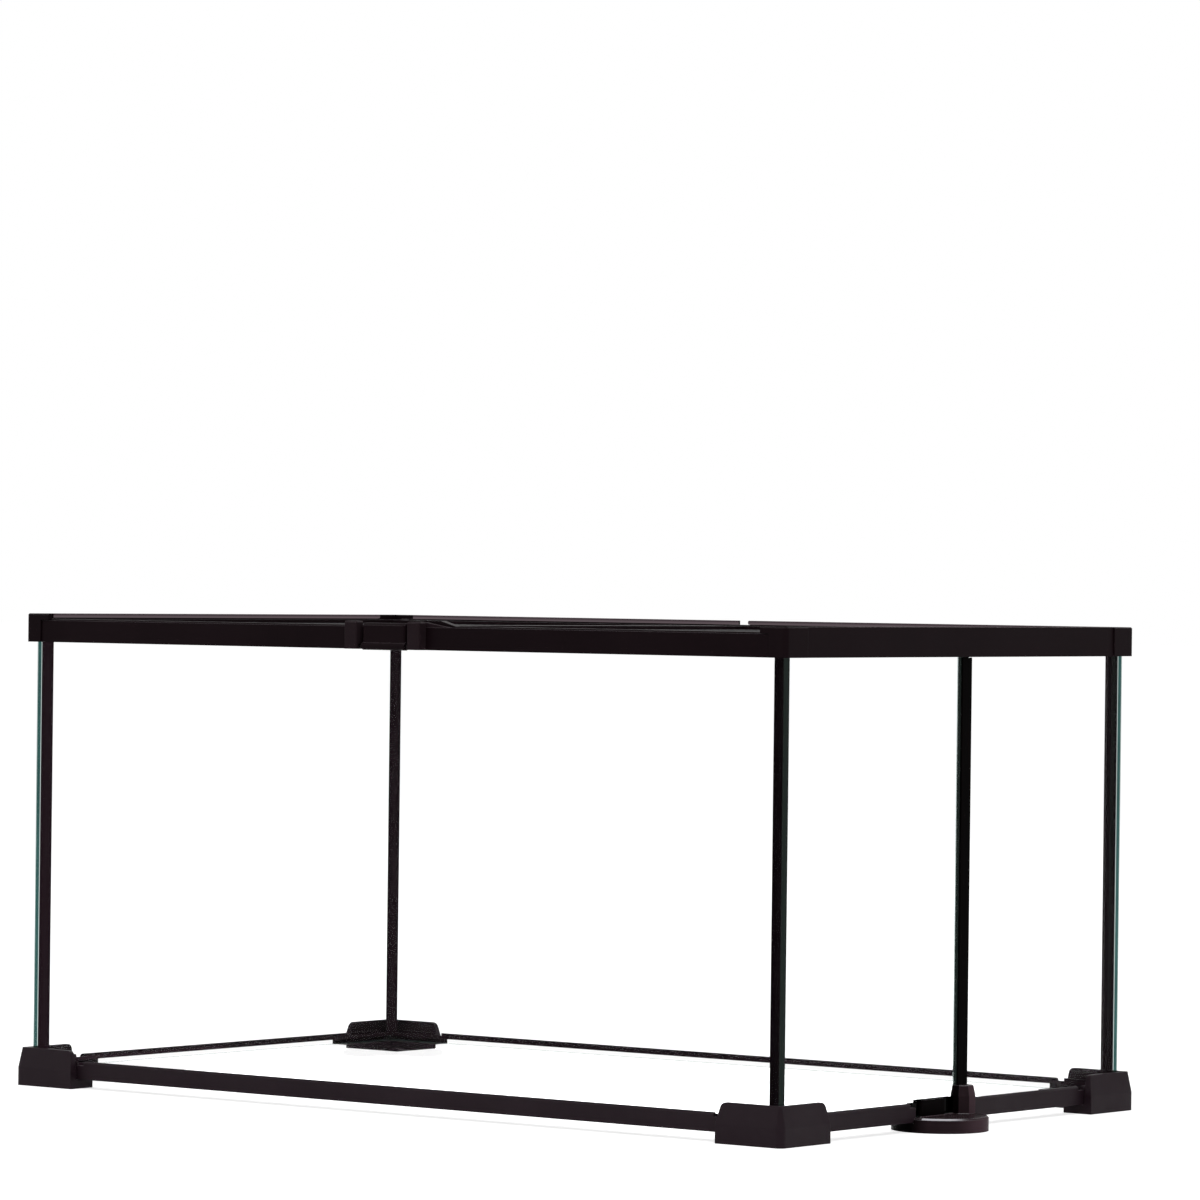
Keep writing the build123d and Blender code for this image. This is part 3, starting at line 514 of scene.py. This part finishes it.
def pinFinish(name, look):
    # drawn steel: fine lines run along the pin
    made, tree, shader = newMaterial(name)
    stretched = addNode(tree, "ShaderNodeMapping", {"Vector": objectPlace(tree), "Scale": look["stretch"]})
    lines = noise(tree, stretched, *look["lines"])
    plug(tree, blendColour(tree, ramp(tree, lines, *look["lineRange"]), look["dark"], look["colour"]),
         shader.inputs["Base Color"])
    plug(tree, ramp(tree, lines, *look["roughnessRange"], *look["roughness"]), shader.inputs["Roughness"])
    shader.inputs["Metallic"].default_value = 1.0
    return made


def dress(name, material):
    mesh = nodes[name].data
    mesh.materials.clear()
    mesh.materials.append(material)


def dressPanes():
    for name in nodes:
        if not name.endswith("_glass"):
            continue
        low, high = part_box(name)
        spans = [high[axis] - low[axis] for axis in range(3)]
        thin = spans.index(min(spans))
        dress(name, floorPaneFinish(name, low) if thin == 2 else paneFinish(name, low, high, thin))


def dressPlastics():
    topPlastic, rimPlastic = plasticFinish("topPlastic", topLook), rimFinish()
    byName = {
        "side_foot": discFinish(),
        "side_post": plasticFinish("postPlastic", postLook),
        "back_top_rail": rimPlastic,
        "left_top_rail": rimPlastic,
        "right_top_rail": plasticFinish("rightRailHighlightPlastic", rightRailHighlightLook),
        "lock_housing": plasticFinish("housingPlastic", housingLook),
    }
    byEnding = {
        "_lid_frame": plasticFinish("lidPlastic", lidLook),
        "_bottom_rail": railGlowFinish(),
        "_foot": plasticFinish("basePlastic", baseLook),
    }
    for name in nodes:
        if name.endswith(("_glass", "_silicone", "_mesh", "_pins", "_pin")):
            continue
        byDefault = next((made for ending, made in byEnding.items() if name.endswith(ending)), topPlastic)
        dress(name, byName.get(name, byDefault))


dressPanes()
dressPlastics()
blackSilicone = siliconeFinish()
coatedWire = wireFinish()
for name in ("corner_silicone", "floor_silicone"):
    dress(name, blackSilicone)
dress("hinge_pins", pinFinish("drawnSteel", pinLook))
dress("lock_pin", pinFinish("blackSteel", blackPinLook))
for name in ("left_lid_mesh", "right_lid_mesh"):
    dress(name, coatedWire)
print("finishes done")


# woven wire in the lids

meshLook = {"pitch": 0.0030, "wire": 0.00028, "lift": 0.00024, "edgeGap": 0.0004, "wireSides": 5}


def makeWeaveTree():
    # one set of wires, each a sine over and under the other set, copied side by side in turn
    group, given, out = newGroup(
        "wovenWires", "GeometryNodeTree",
        {"Geometry": "Geometry", "Length": "Float", "Wires": "Int", "Crossings": "Int", "Pitch": "Float",
         "Wire Radius": "Float", "Lift": "Float", "Material": "Material"},
        {"Geometry": "Geometry"})
    g = given.outputs
    points = maths(group, "ADD", maths(group, "MULTIPLY", g["Crossings"], 2.0), 1.0)
    half = maths(group, "MULTIPLY", g["Length"], 0.5)
    start = addNode(group, "ShaderNodeCombineXYZ", {0: maths(group, "MULTIPLY", half, -1.0)})
    end = addNode(group, "ShaderNodeCombineXYZ", {0: half})
    row = addNode(group, "GeometryNodeMeshLine", {"Count": g["Wires"]}, mode="OFFSET")
    rowWidth = maths(group, "MULTIPLY", maths(group, "SUBTRACT", g["Wires"], 1.0), g["Pitch"])
    firstY = maths(group, "MULTIPLY", rowWidth, -0.5)
    plug(group, addNode(group, "ShaderNodeCombineXYZ", {1: firstY}), row.inputs["Start Location"])
    plug(group, addNode(group, "ShaderNodeCombineXYZ", {1: g["Pitch"]}), row.inputs["Offset"])
    line = addNode(group, "GeometryNodeCurvePrimitiveLine", {"Start": start, "End": end})
    fine = addNode(group, "GeometryNodeResampleCurve", {"Curve": line, "Count": points})
    placed = addNode(group, "GeometryNodeInstanceOnPoints", {"Points": row, "Instance": fine})
    loose = addNode(group, "GeometryNodeRealizeInstances", {"Geometry": placed})
    place = partsOf(group, addNode(group, "GeometryNodeInputPosition"))
    alongTurns = maths(group, "DIVIDE", place[0], g["Pitch"])
    rowTurns = maths(group, "DIVIDE", maths(group, "SUBTRACT", place[1], firstY), g["Pitch"])
    turns = maths(group, "ADD", alongTurns, rowTurns)
    wave = maths(group, "COSINE", maths(group, "MULTIPLY", turns, math.pi))
    rise = addNode(group, "ShaderNodeCombineXYZ", {2: maths(group, "MULTIPLY", wave, g["Lift"])})
    bent = addNode(group, "GeometryNodeSetPosition", {"Geometry": loose, "Offset": rise})
    ring = addNode(group, "GeometryNodeCurvePrimitiveCircle",
                   {"Resolution": meshLook["wireSides"], "Radius": g["Wire Radius"]})
    solid = addNode(group, "GeometryNodeCurveToMesh",
                    {"Curve": bent, "Profile Curve": ring, "Fill Caps": True})
    whole = addNode(group, "GeometryNodeRealizeInstances", {"Geometry": solid})
    painted = addNode(group, "GeometryNodeSetMaterial", {"Geometry": whole, "Material": g["Material"]})
    plug(group, painted, out.inputs["Geometry"])
    return group


weaveTree = makeWeaveTree()


def runTree(name, tree, values):
    carrier = bpy.data.objects.new(name, bpy.data.meshes.new(name))
    bpy.context.scene.collection.objects.link(carrier)
    modifier = carrier.modifiers.new("build", "NODES")
    modifier.node_group = tree
    for socket in tree.interface.items_tree:
        if socket.in_out == "INPUT" and socket.name in values:
            modifier[socket.identifier] = values[socket.name]
    bpy.context.view_layer.update()
    evaluated = carrier.evaluated_get(bpy.context.evaluated_depsgraph_get())
    mesh = bpy.data.meshes.new_from_object(evaluated)
    bpy.data.objects.remove(carrier)
    return mesh


def evenCount(span, pitch):
    # even, so that the two sets pass in step
    return int(span / pitch) // 2 * 2


def weaveLid(name, body):
    low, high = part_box(name)
    centre = [(low[axis] + high[axis]) / 2 for axis in range(3)]
    spanX, spanY = (high[axis] - low[axis] - 2 * meshLook["edgeGap"] for axis in range(2))
    pitch, lift = meshLook["pitch"], meshLook["lift"]
    wiresX, wiresY = evenCount(spanX, pitch), evenCount(spanY, pitch)
    sets = []
    for length, wires, crossings, rise, turn in ((spanX, wiresY, wiresX, lift, 0),
                                                 (spanY, wiresX, wiresY, -lift, 90)):
        values = {"Length": length, "Wires": wires, "Crossings": crossings, "Pitch": pitch,
                  "Wire Radius": meshLook["wire"], "Lift": rise, "Material": coatedWire}
        mesh = runTree(name + "Set", weaveTree, values)
        mesh.transform(Matrix.Translation(centre) @ Matrix.Rotation(math.radians(turn), 4, "Z"))
        sets.append(bpy.data.objects.new(name + "Wires", mesh))
        bpy.context.scene.collection.objects.link(sets[-1])
    joined = sets[0]
    with bpy.context.temp_override(active_object=joined, selected_editable_objects=sets):
        bpy.ops.object.join()
    joined.name = name.replace("_mesh", "_woven_wire")
    joined.data.name = joined.name
    for face in joined.data.polygons:
        face.use_smooth = True
    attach(joined, body)
    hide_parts(name)


for side in ("left", "right"):
    weaveLid(side + "_lid_mesh", side + "_lid")
print("lids woven")


# stage, lamps and camera

stageLook = {"floorSize": 40.0, "floorColour": (0.80, 0.80, 0.80, 1), "glow": 0.69, "worldSoft": 0.42}


def seenDirectly(tree):
    # camera, glossy and transmitted rays, which are the ones that show the background
    path = addNode(tree, "ShaderNodeLightPath").outputs
    return eitherOf(tree, eitherOf(tree, path["Is Camera Ray"], path["Is Glossy Ray"]),
                    path["Is Transmission Ray"])


def makeFloor():
    size = stageLook["floorSize"] / 2
    corners = [(-size, -size, 0), (size, -size, 0), (size, size, 0), (-size, size, 0)]
    mesh = bpy.data.meshes.new("floor")
    mesh.from_pydata(corners, [], [(0, 1, 2, 3)])
    floor = bpy.data.objects.new("floor", mesh)
    bpy.context.scene.collection.objects.link(floor)
    made = bpy.data.materials.new("paleFloor")
    tree = emptyTree(made)
    matt = addNode(tree, "ShaderNodeBsdfDiffuse", {"Color": stageLook["floorColour"]})
    strength = maths(tree, "MULTIPLY", seenDirectly(tree), stageLook["glow"])
    glow = addNode(tree, "ShaderNodeEmission", {"Color": white, "Strength": strength})
    both = addNode(tree, "ShaderNodeAddShader", {0: matt, 1: glow})
    plug(tree, both, addNode(tree, "ShaderNodeOutputMaterial").inputs["Surface"])
    mesh.materials.append(made)


def makeWorld():
    world = bpy.data.worlds.new("studio")
    bpy.context.scene.world = world
    tree = emptyTree(world)
    strength = ramp(tree, seenDirectly(tree), 0.0, 1.0, stageLook["worldSoft"], 1.0)
    glow = addNode(tree, "ShaderNodeBackground", {"Color": white, "Strength": strength})
    plug(tree, glow, addNode(tree, "ShaderNodeOutputWorld").inputs["Surface"])


lampTarget = (0, 0, 0.12)
lampLook = {
    "key": {"at": (1.6, -1.2, 2.2), "size": 1.8, "power": 26.0},
    "fill": {"at": (-1.9, -2.0, 1.6), "size": 2.2, "power": 14.0},
    "back": {"at": (-0.6, 2.2, 2.0), "size": 2.0, "power": 14.0},
}


def makeLamps():
    for name, look in lampLook.items():
        data = bpy.data.lights.new(name, "AREA")
        data.shape = "SQUARE"
        data.size = look["size"]
        data.energy = look["power"]
        lamp = bpy.data.objects.new(name, data)
        lamp.location = look["at"]
        lamp.rotation_euler = (Vector(lampTarget) - lamp.location).to_track_quat("-Z", "Y").to_euler()
        bpy.context.scene.collection.objects.link(lamp)


cameraLook = {"at": (1.9918, -2.4938, 0.2726), "turn": 38.37, "tip": -0.213, "roll": 0.675, "lens": 182.75,
              "farthest": 100}


def makeCamera():
    turn, tip, roll = (math.radians(cameraLook[key]) for key in ("turn", "tip", "roll"))
    ahead = Vector((-math.sin(turn) * math.cos(tip), math.cos(turn) * math.cos(tip), math.sin(tip)))
    level = Vector((math.cos(turn), math.sin(turn), 0))
    upright = level.cross(ahead)
    right = level * math.cos(roll) + upright * math.sin(roll)
    up = upright * math.cos(roll) - level * math.sin(roll)
    data = bpy.data.cameras.new("camera")
    data.lens = cameraLook["lens"]
    data.clip_end = cameraLook["farthest"]
    camera = bpy.data.objects.new("camera", data)
    axes = Matrix((right, up, -ahead)).transposed()
    camera.matrix_world = Matrix.Translation(cameraLook["at"]) @ axes.to_4x4()
    bpy.context.scene.collection.objects.link(camera)
    bpy.context.scene.camera = camera


makeFloor()
makeWorld()
makeLamps()
makeCamera()
bpy.context.scene.view_settings.view_transform = "Standard"
print("stage, lamps and camera done")
